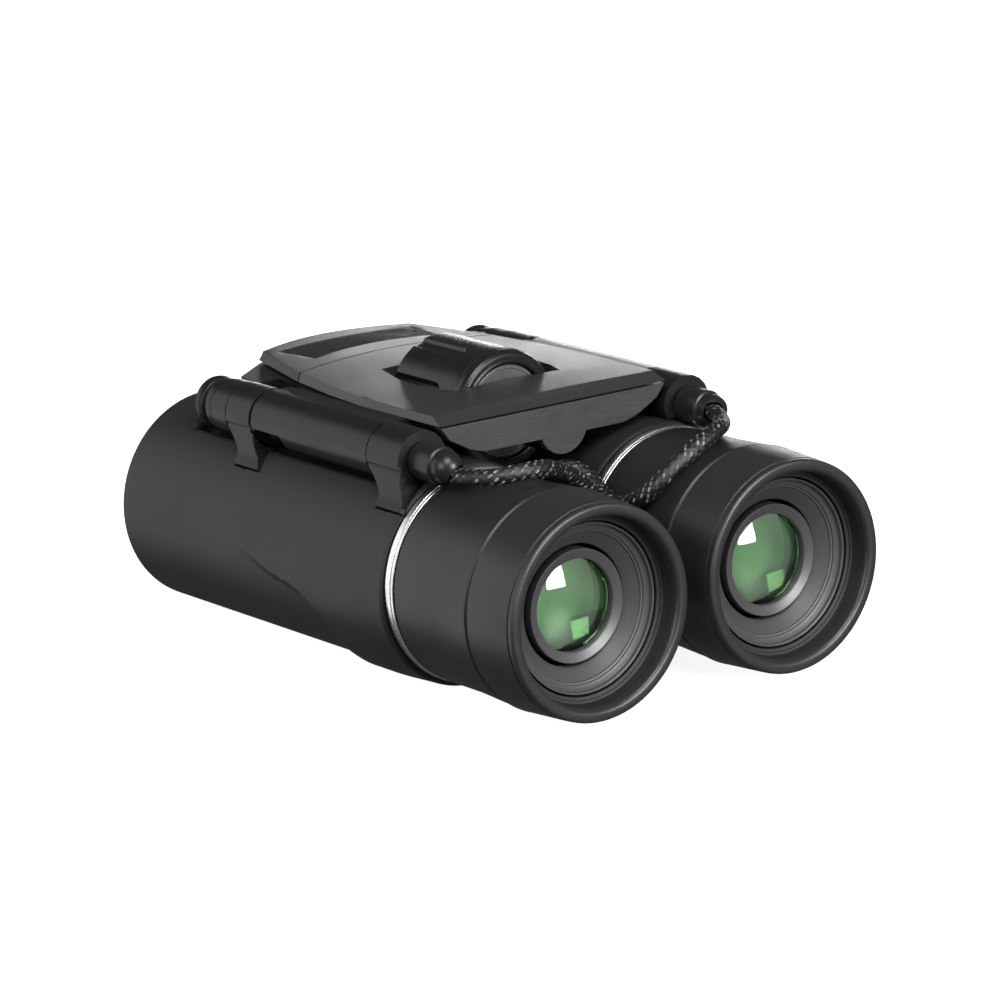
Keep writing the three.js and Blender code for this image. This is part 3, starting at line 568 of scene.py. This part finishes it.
def between(points, x):
    for (x0, y0), (x1, y1) in zip(points, points[1:]):
        if x <= x1:
            return y0 + (y1 - y0) * max(0, (x - x0) / (x1 - x0))
    return points[-1][1]


def ease(low, high, x):
    t = min(1, max(0, (x - low) / (high - low)))
    return t * t * (3 - 2 * t)


def swell(bm, side):
    # the thumb rest stands out below and outside, behind a curved crease
    for vert in bm.verts:
        x, y = vert.co.x / mm - side * barrelX, (vert.co.y - lipY) / mm
        z = (vert.co.z - axisHeight) / mm
        r = math.hypot(x, z)
        if r < armour["radius"] - 0.4:
            continue
        angle = math.degrees(math.atan2(side * x, z)) % 360
        rise = thumb["rise"] * ease(*thumb["fadeIn"], angle) * (1 - ease(*thumb["fadeOut"], angle))
        rise *= ease(0, thumb["blend"], between(thumb["edge"], angle) - y + thumb["blend"] / 2)
        rise *= 0.55 + 0.45 * ease(armourSpan[0] - 1, armourSpan[0] + 9, y)
        vert.co = at(side * barrelX + x * (1 + rise / r), y, z * (1 + rise / r))


def cutter(node, grow):
    # a neighbour's shape, grown by the clearance
    bm = designedShape(node)
    bm.normal_update()
    moves = [(v, v.normal.copy()) for v in bm.verts]
    for vert, normal in moves:
        vert.co += normal * grow * mm
    return bm


def carve(piece, tools, bevel=0.0):
    made = []
    for i, tool in enumerate(tools):
        mesh = bpy.data.meshes.new(f"tool{i}")
        tool.to_mesh(mesh)
        tool.free()
        holder = bpy.data.objects.new(f"tool{i}", mesh)
        bpy.context.collection.objects.link(holder)
        made.append(holder)
        modifier = piece.modifiers.new(f"cut{i}", "BOOLEAN")
        modifier.operation, modifier.solver, modifier.object = "DIFFERENCE", "EXACT", holder
    applyModifiers(piece)
    for holder in made:
        bpy.data.objects.remove(holder)
    bm = bmesh.new()
    bm.from_mesh(piece.data)
    bmesh.ops.remove_doubles(bm, verts=bm.verts, dist=0.002 * mm)
    bm.to_mesh(piece.data)
    bm.free()
    piece.data.set_sharp_from_angle(angle=math.radians(35))
    if bevel:
        roundEdges(piece, bevel, 2, 40)


def rodTool(r, x, y0, y1, z):
    return spun([(0, y0), (r, y0), (r, y1), (0, y1)], x, z, 64, closed=False)


def makeArmour(name, side):
    y0, y1 = armourSpan
    r = armour["radius"]
    inner = r - armour["wall"]
    # close stations under the thumb rest, and wide ones past it
    stations = [(r, y0 + 1.2 + 0.7 * i) for i in range(58)]
    stations += [(r, y) for y in range(round(y0 + 43), round(y1 - 3), 4)]
    profile = filleted([(inner, y0), (r - 0.15, y0, 0.15), (r, y0 + 0.4, 0.3)] + stations
                       + [(r, y1, 2.6), (13.2, y1, 0.4), (13.2, y1 - 2.4), (inner, y1 - 2.4)], arc=7)
    bm = spun(profile, side * barrelX, 0, 180)
    swell(bm, side)
    piece = finishPiece(f"{name}_rubber_armour", bm, f"{name}_armour", "armour")
    hinge = side * pinX
    (start, end), knuckle = armour["hinge"], armour["knuckleR"]
    capEnd = along(f"{name}_pin_cap")[1] + armour["capGap"]
    tools = [cutter(f"{name}_{place}_lug", armour["lugGap"]) for place in ("rear", "front")]
    tools += [rodTool(knuckle, hinge, start, end, pinZ), rodTool(knuckle, hinge, end - 0.3, capEnd, pinZ),
              rodTool(armour["knobR"], hinge, y0 - 1, armour["knobEnd"], pinZ)]
    carve(piece, tools)


# radii of the cell, its bore and its ledge, the lens and its coating, and how far the lens faces bulge
objective = {
    "cellR": 12.3, "boreR": 10.8, "ledgeR": 9.6, "lockR": 9.9, "lensR": 10.5, "coatR": 10.3,
    "rearBulge": -1.0, "frontBulge": 1.2, "bezelR": 10.7, "lipR": 11.4,
}


def makeObjective(name, x):
    y0, y1 = along(f"{name}_objective_cell")
    cellR, boreR, lensR, coatR = (objective[key] for key in ("cellR", "boreR", "lensR", "coatR"))
    ledgeR, lockR, bezelR, lipR = (objective[key] for key in ("ledgeR", "lockR", "bezelR", "lipR"))
    cell = filleted([(ledgeR, y0), (cellR, y0), (cellR, y1, 0.2), (boreR, y1, 0.15), (boreR, y0 + 1.5),
                     (ledgeR, y0 + 1.5)])
    finishPiece(f"{name}_cell", spun(cell, x), f"{name}_objective_cell", "cell")
    lock = filleted([(lockR, y1 - 2.1, 0.1), (lensR, y1 - 2.1), (lensR, y1, 0.1), (lockR, y1, 0.2)], arc=3)
    finishPiece(f"{name}_lock_ring", spun(lock, x), f"{name}_objective_lock_ring", "retainer")
    lens = dome(lensR, y0 + 3, objective["rearBulge"])[:-1] + [(lensR, y0 + 3), (lensR, y1 - 2.4)]
    lens += dome(lensR, y1 - 2.4, objective["frontBulge"])[-2::-1]
    finishPiece(f"{name}_front_glass", spun(lens, x, closed=False), f"{name}_objective_lens", "glass")
    coat = dome(coatR, y0 + 3.4, 0.9) + dome(coatR, y0 + 3.2, 0.85)[::-1]
    finishPiece(f"{name}_front_coating", spun(coat, x, closed=False), f"{name}_objective_lens", "coat", ())
    y0, y1 = along(f"{name}_objective_bezel")
    bezel = filleted([(bezelR, y0), (cellR, y0), (cellR, y1, 0.15), (lipR, y1, 0.15)], arc=3)
    finishPiece(f"{name}_bezel", spun(bezel, x), f"{name}_objective_bezel", "sleeve")


# the bright band's bore, its two edges and the floor of the groove between them
trim = {"bore": 12.8, "rearR": 15.45, "grooveR": 15.36, "frontR": 15.5}


def makeBarrels():
    for name, side in sides.items():
        makeArmour(name, side)
        x = side * barrelX
        y0, y1 = along(f"{name}_trim_ring")
        bore, rearR, grooveR, frontR = trim.values()
        ring = filleted([(bore, y0), (rearR, y0, 0.12), (rearR, y0 + 0.42, 0.03), (grooveR, y0 + 0.47, 0.02),
                         (grooveR, y0 + 0.53, 0.02), (frontR, y0 + 0.58, 0.03), (frontR, y1, 0.12),
                         (bore, y1)], arc=3)
        finishPiece(f"{name}_bright_ring", spun(ring, x, 0, 180), f"{name}_trim_ring", "ring")
        for place in ("rear", "front"):
            refined(f"{name}_{place}_lug", "casting", 0.4, segments=3, shape=lambda bm: waist(bm, side))
        makeObjective(name, x)


makeBarrels()
print("barrels made")

# the outlines' points are radius, y and the corner's fillet; inside the painted-shade radius the eyecup
# takes a near-black finish, painted shade for its recess
# coats gives each coated face's y and bulge
cup = {
    "outline": [(12.4, 6.2), (12.4, 3.3, 0.1), (12.85, 3.22, 0.06), (12.9, 3.0, 0.08), (13.25, 2.95, 0.1),
                (13.5, 1.5, 0.3), (13.65, 0.0, 0.95), (15.42, 0.0, 0.7), (15.45, 0.98, 0.06),
                (15.3, 1.04, 0.04), (15.3, 1.2, 0.04), (15.5, 1.28, 0.06), (15.93, 8.7, 0.5),
                (16.0, 9.45, 0.25), (15.75, 9.7, 0.1), (14.1, 9.7), (14.1, 6.2)],
    "cone": [(12.1, 3.4, 0.08), (12.1, 6.2), (13.8, 6.6), (13.8, 11.6), (12.6, 11.6), (12.6, 7.6),
             (8.7, 7.4), (8.7, 6.2, 0.1), (10.6, 4.95, 0.1), (10.7, 4.7, 0.05), (10.95, 4.66, 0.05),
             (11.0, 4.45, 0.05), (11.35, 4.3, 0.1), (11.75, 4.05, 0.1), (11.8, 3.6, 0.08)],
    "sleeve": [(14.1, 10.0), (15.5, 10.0, 0.1), (15.84, 10.3, 0.15), (15.8, 11.2), (15.45, 18),
               (15.4, 27.0, 0.2), (9.2, 27.0), (9.2, 25.2), (14.1, 25.2)],
    "retainer": [(6.62, 6.7), (6.62, 5.9, 0.04), (6.78, 5.78, 0.04), (7.9, 5.4, 0.05), (8.02, 5.38, 0.04),
                 (8.1, 5.5, 0.05), (8.1, 6.7)],
    "tube": [(7.2, 7.2), (8.1, 7.0), (8.1, 25.4), (7.2, 25.4)],
    "darkR": 13.52, "glassR": 6.4, "coatR": 6.9, "deepR": 7.0,
    "coats": ((8.75, 1.2), (10.6, -1.6)),
}


def makeEyepieces():
    for name, side in sides.items():
        x = side * barrelX
        soft = finishPiece(f"{name}_soft_eyecup", spun(filleted(cup["outline"]), x, 0, 192),
                           f"{name}_eyecup", "eyecup")
        # painted shade: the eyecup's inner wall takes the near-black cell finish, darker than the rubber
        # outside, for the shade inside the recess
        soft.data.materials.append(finishes["cell"])
        for face in soft.data.polygons:
            distance = math.hypot(face.center.x - x * mm, face.center.z - axisHeight)
            face.material_index = distance < cup["darkR"] * mm
        finishPiece(f"{name}_cone", spun(filleted(cup["cone"], arc=3), x, 0, 160),
                    f"{name}_eyepiece_cone", "cone")
        finishPiece(f"{name}_sleeve", spun(filleted(cup["sleeve"]), x, 0, 180),
                    f"{name}_eyepiece_sleeve", "sleeve")
        finishPiece(f"{name}_retainer", spun(filleted(cup["retainer"]), x), f"{name}_eye_lens_ring",
                    "retainer")
        finishPiece(f"{name}_ocular_tube", spun(cup["tube"], x), f"{name}_lens_tube", "cell")
        glassR, coatR, deepR = cup["glassR"], cup["coatR"], cup["deepR"]
        front = dome(glassR, 6.75, -1.25) + [(6.5, 6.8), (6.5, 8.3)] + dome(glassR, 8.4, -0.5)[::-1]
        finishPiece(f"{name}_eye_glass", spun(front, x, closed=False), f"{name}_eye_lens", "glass")
        # the coated faces and the deep glass stand for the lens group behind the eye lens
        for i, (y, bulge) in enumerate(cup["coats"]):
            shell = dome(coatR, y, bulge, 14) + dome(coatR, y + 0.15, bulge, 14)[::-1]
            finishPiece(f"{name}_coated_face_{i + 1}", spun(shell, x, closed=False), f"{name}_eye_lens",
                        "coat", ())
        back = dome(deepR, 12.4, 1.2) + [(deepR, 12.6), (deepR, 13.4), (0, 13.4)]
        finishPiece(f"{name}_deep_glass", spun(back, x, closed=False), f"{name}_eye_lens", "deep", ())


makeEyepieces()
print("eyepieces made")

# the head is a drum from base on and a ball that ends at tip; the cord leaves it towards "out"
pin = {
    "base": 31.0, "drumR": 2.75, "ballR": 2.35, "ballY": 25.7, "tip": 23.4, "shaft": 1.5, "hole": 1.5,
    "cordY": 26.6, "out": {"left": (0.2, -0.9, -0.35), "right": (-0.34, -0.94, 0.05)},
}


def makeHinges():
    for name, side in sides.items():
        end = along(f"{name}_hinge_pin")[1]
        base, drumR, ballR, ballY = (pin[key] for key in ("base", "drumR", "ballR", "ballY"))
        head = [(0, base), (drumR, base, 0.15), (drumR, 26.5, 0.25), (ballR, 26.35, 0.1), (ballR, ballY)]
        ball = [(ballR * math.cos(a), ballY - (ballY - pin["tip"]) * math.sin(a))
                for a in (math.radians(6 * i) for i in range(1, 16))]
        profile = [(0, end), (pin["shaft"], end), (pin["shaft"], base)]
        profile += filleted(head, closed=False)[1:] + ball
        piece = finishPiece(f"{name}_pin_head", spun(profile, side * pinX, pinZ, 72, closed=False),
                            f"{name}_hinge_pin", "pin")
        drill = spun([(0, -1.6), (pin["hole"], -1.6), (pin["hole"], 6), (0, 6)], turns=48, closed=False)
        out = Vector(pin["out"][name])
        aim = Vector((0, 1, 0)).rotation_difference(out).to_matrix().to_4x4()
        hole = Matrix.Translation(at(side * pinX, pin["cordY"], pinZ))
        bmesh.ops.transform(drill, verts=drill.verts, matrix=hole @ aim @ Matrix.Translation(-at(0, 0, 0)))
        carve(piece, [drill], 0.12)
        y0, y1 = along(f"{name}_pin_cap")
        # a collar, a neck and a knob
        cap = filleted([(0, y0 + 2.9), (1.8, y0 + 2.9), (1.8, y0), (3.85, y0, 0.25), (3.85, y0 + 1.5, 0.3),
                        (3.2, y0 + 1.7, 0.15), (3.2, y0 + 2.3, 0.15), (3.75, y0 + 2.5, 0.3),
                        (3.95, y0 + 3.4, 0.8), (3.75, y1 - 1.5, 1.0), (2.6, y1, 1.2), (0, y1)],
                       closed=False)
        finishPiece(f"{name}_nut_cap", spun(cap, side * pinX, pinZ, 72, closed=False), f"{name}_pin_cap",
                    "casting")


makeHinges()
print("hinges made")

# how far the covers' tops arch, and half the width that the arch spans
crown = {"rear": 0.26, "middle": 0.62, "front": 0.3, "half": 20, "grid": 1.5}


def crownAt(x, y):
    height = between([(31, 0), (34, crown["rear"]), (42, crown["middle"]), (72, crown["middle"]),
                      (88, crown["front"])], y)
    return height * max(0, 1 - (x / crown["half"]) ** 2)


def crowned(node, name, finish, bevel):
    # the designed plate cut into a fine grid, with its top gently arched
    bm = designedShape(node)
    mergeFacets(bm)
    low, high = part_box(node)
    pitch = crown["grid"]
    for axis in (0, 1):
        count = int((high[axis] - low[axis]) / (pitch * mm))
        for i in range(1, count + 1):
            spot = Vector(low)
            spot[axis] += i * pitch * mm
            cutAcross(bm, spot, Vector((axis == 0, axis == 1, 0)))
    top = high.z - 0.3 * mm
    for vert in bm.verts:
        if vert.co.z > top:
            vert.co.z += crownAt(vert.co.x / mm, (vert.co.y - lipY) / mm) * mm
    piece = finishPiece(name, bm, node, finish, sharp=30)
    roundEdges(piece, bevel, 3, 28)


shelf = {"rise": 4.05, "slope": (20.6, 20.75), "front": 68}


def raiseShelf(bm):
    # beside the covers the frame's top runs level into the hinge tubes
    deck = max(vert.co.z for vert in bm.verts if abs(vert.co.x) < 15 * mm)
    level = at(0, 0, pinZ + shelf["rise"]).z
    inner, outer = shelf["slope"]
    for x in (-outer, -inner, inner, outer):
        cutAcross(bm, at(x, 0, 0), (1, 0, 0))
    for vert in bm.verts:
        beside = abs(vert.co.x) > (outer - 0.05) * mm and vert.co.y < at(0, shelf["front"], 0).y
        if beside and vert.co.z > deck - 0.05 * mm:
            vert.co.z = max(vert.co.z, level)


def makeBridge():
    refined("bridge_frame", "casting", 0.3, sharp=34, segments=3, shape=raiseShelf)
    refined("rear_end_plate", "plate", 0.12)
    crowned("top_cover", "wheel_cover", "cover", 0.12)
    crowned("front_cover", "nose_cover", "cover", 0.12)
    crowned("name_inlay", "gloss_plate", "inlay", 0.1)


makeBridge()
print("bridge made")

# half is half a groove's width, and span is where the grooves start and stop
wheel = {
    "radius": 9.0, "grooves": 8, "half": 1.15, "depth": 0.6, "span": (48.2, 60.2), "turns": 384,
}


def makeWheel():
    y0, y1 = along("focus_wheel")
    r = wheel["radius"]
    stations = [(r, y0 + 3.4 + 0.3 * i) for i in range(int((y1 - 1.9 - y0 - 3.4) / 0.3))]
    profile = filleted([(1.8, y0 + 0.9), (7.0, y0 + 0.9, 0.08), (7.0, y0 + 0.15, 0.1), (7.25, y0, 0.06),
                        (7.5, y0 + 0.12, 0.06), (8.0, y0 + 0.1, 0.08), (8.35, y0 + 0.15, 0.1),
                        (8.7, y0 + 0.4, 0.2), (8.95, y0 + 1.0, 0.2), (8.9, y0 + 1.7, 0.04),
                        (9.0, y0 + 1.85, 0.04)] + stations
                       + [(r, y1 - 1.6, 0.8), (7.6, y1, 0.9), (1.8, y1)], arc=5)
    bm = spun(profile, 0, wheelZ, wheel["turns"])
    pitch = 2 * math.pi / wheel["grooves"]
    for vert in bm.verts:
        x, z = vert.co.x / mm, (vert.co.z - axisHeight) / mm - wheelZ
        distance, y = math.hypot(x, z), (vert.co.y - lipY) / mm
        if distance < r - 2.2:
            continue
        off = ((math.atan2(x, z) / pitch) % 1 - 0.5) * pitch * distance
        across = 1 - ease(wheel["half"] - 0.45, wheel["half"] + 0.1, abs(off))
        # the groove's ends are round in plan
        reach = wheel["half"] - math.sqrt(max(0, wheel["half"] ** 2 - min(abs(off), wheel["half"]) ** 2))
        start, stop = wheel["span"][0] + reach, wheel["span"][1] - reach
        lengthwise = ease(start, start + 0.5, y) * (1 - ease(stop - 0.4, stop + 0.2, y))
        depth = wheel["depth"] * across * lengthwise * (0.75 + 0.25 * (1 - (off / wheel["half"]) ** 2))
        scale = 1 - depth / distance
        vert.co = at(x * scale, y, wheelZ + z * scale)
    finishPiece("focus_roller", bm, "focus_wheel", "wheel", sharp=40)
    y0, y1 = along("focus_wheel_disc")
    disc = filleted([(1.8, y0, 0.03), (6.15, y0, 0.03), (6.25, y0 - 0.1, 0.04), (6.45, y0 - 0.1, 0.04),
                     (6.5, y0 + 0.05, 0.03), (6.7, y0 + 0.05), (6.7, y1), (1.8, y1)], arc=3)
    finishPiece("roller_disc", spun(disc, 0, wheelZ), "focus_wheel_disc", "disc")


makeWheel()
print("focus wheel made")

# pieces that keep their designed shape
kept = {
    "barrel_tube": "casting", "prism_holder": "cell", "focus_rod": "steel", "half_penta_prism": "glass",
    "roof_prism": "glass", "field_lens": "glass", "focus_shaft": "steel", "focus_carriage": "steel",
}
for nodeName, node in cadNodes.items():
    if not node.hide_render:
        key = nodeName.replace("left_", "").replace("right_", "")
        node.data.materials.clear()
        node.data.materials.append(finishes[kept[key]])
print("inner pieces finished")


def makeFloor():
    bm = bmesh.new()
    bmesh.ops.create_grid(bm, x_segments=1, y_segments=1, size=4)
    mesh = bpy.data.meshes.new("floor")
    bm.to_mesh(mesh)
    bm.free()
    floor = bpy.data.objects.new("floor", mesh)
    bpy.context.collection.objects.link(floor)
    shader = Shader("pale_floor", Roughness=0.7, Specular_IOR_Level=0.1, Emission_Strength=0.9,
                    Emission_Color=(1, 1, 1, 1))
    cloud = shader.noise(300, 1)
    mesh.materials.append(shader.set(Base_Color=shader.blend(cloud, grey(0.8, 1), grey(0.84, 1))))
    # only the camera sees it, so the lamps alone light the black finishes
    floor.visible_diffuse = floor.visible_glossy = floor.visible_shadow = False


# each lamp's place and size in metres, and its watts
lamps = {
    "frontBox": ((0.22, -0.85, 0.2), (0.3, 0.28), 8),
    "leftBox": ((-0.95, -0.3, 0.35), (0.7, 0.6), 5.5),
    "topBox": ((-0.2, -0.6, 0.8), (0.6, 0.6), 9),
    "rimBox": ((-0.55, 0.75, 0.05), (0.9, 1.1), 3.6),
    "backBox": ((0.42, 0.36, 0.09), (0.34, 0.04), 0.5),
}
worldLight = 0.1


def makeLights():
    world = bpy.data.worlds.new("studio")
    world.use_nodes = True
    sky = world.node_tree.nodes["Background"]
    sky.inputs["Color"].default_value = (1, 1, 1, 1)
    sky.inputs["Strength"].default_value = worldLight
    bpy.context.scene.world = world
    bpy.context.scene.view_settings.view_transform = "Standard"
    for name, (place, size, watts) in lamps.items():
        light = bpy.data.lights.new(name, "AREA")
        light.shape, light.energy = "RECTANGLE", watts
        light.size, light.size_y = size
        lamp = bpy.data.objects.new(name, light)
        lamp.location = place
        lamp.rotation_mode = "QUATERNION"
        lamp.rotation_quaternion = (-Vector(place)).to_track_quat("-Z", "Y")
        lamp.visible_camera = False
        bpy.context.collection.objects.link(lamp)


makeFloor()
makeLights()
print("floor and lights placed")
